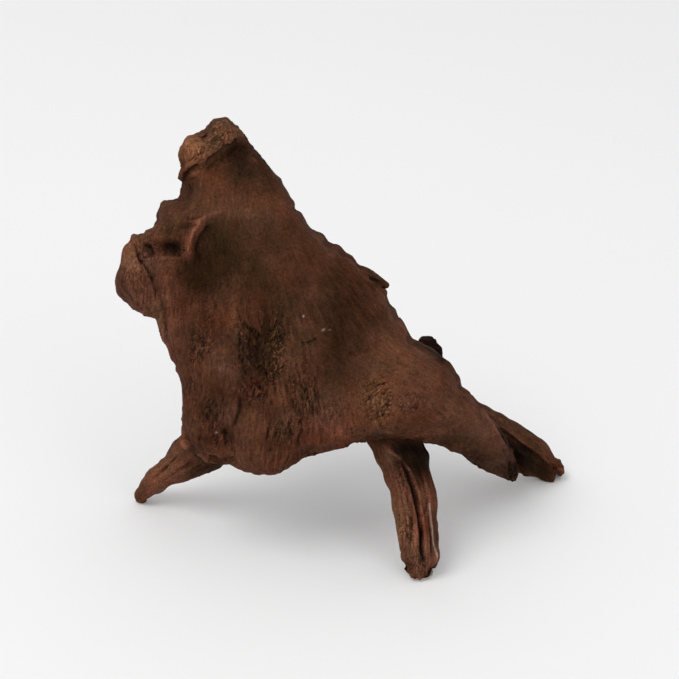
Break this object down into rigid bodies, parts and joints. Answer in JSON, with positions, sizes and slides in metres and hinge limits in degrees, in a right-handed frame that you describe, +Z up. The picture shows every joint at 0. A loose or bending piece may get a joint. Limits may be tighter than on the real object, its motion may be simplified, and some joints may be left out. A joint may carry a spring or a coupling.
{
  "type": "aquarium cave ornament",
  "caption": "Hollow driftwood-shaped cave ornament for an aquarium: a leaning trunk that stands on spread roots, with openings for fish below and behind.",
  "frame": {"origin": "middle of the object's box on the ground, under the feet", "axes": "+Z up, +X to the viewer's right towards the long arm, +Y away from the viewer towards the cave mouth"},
  "size_m": [0.2327, 0.1011, 0.2204],
  "materials": {
    "cast_wood": "filled polyester resin, painted reddish brown, matte",
    "cast_wood_dark": "filled polyester resin, painted dark brown, matte",
    "cast_wood_pale": "filled polyester resin, painted lighter red brown, matte",
    "rod": "glass-fibre rod, unpainted",
    "foot_pad": "thin moulded pad, pale grey, matte"
  },
  "bodies": {
    "root": {"front_shell": "cast_wood", "rear_shell": "cast_wood_dark", "right_arm": "cast_wood", "crown": "cast_wood_pale", "left_burl": "cast_wood_pale", "left_root": "cast_wood_pale", "centre_root": "cast_wood", "right_root": "cast_wood_dark", "rear_stub": "cast_wood_dark", "bark_flake": "cast_wood_dark", "seam_dowels": "rod", "arm_dowels": "rod", "crown_dowel": "rod", "burl_dowel": "rod", "left_root_dowel": "rod", "centre_root_dowel": "rod", "right_root_dowel": "rod", "stub_dowel": "rod", "left_foot_pad": "foot_pad", "centre_foot_pad": "foot_pad", "right_foot_pad": "foot_pad"}
  },
  "joints": []
}
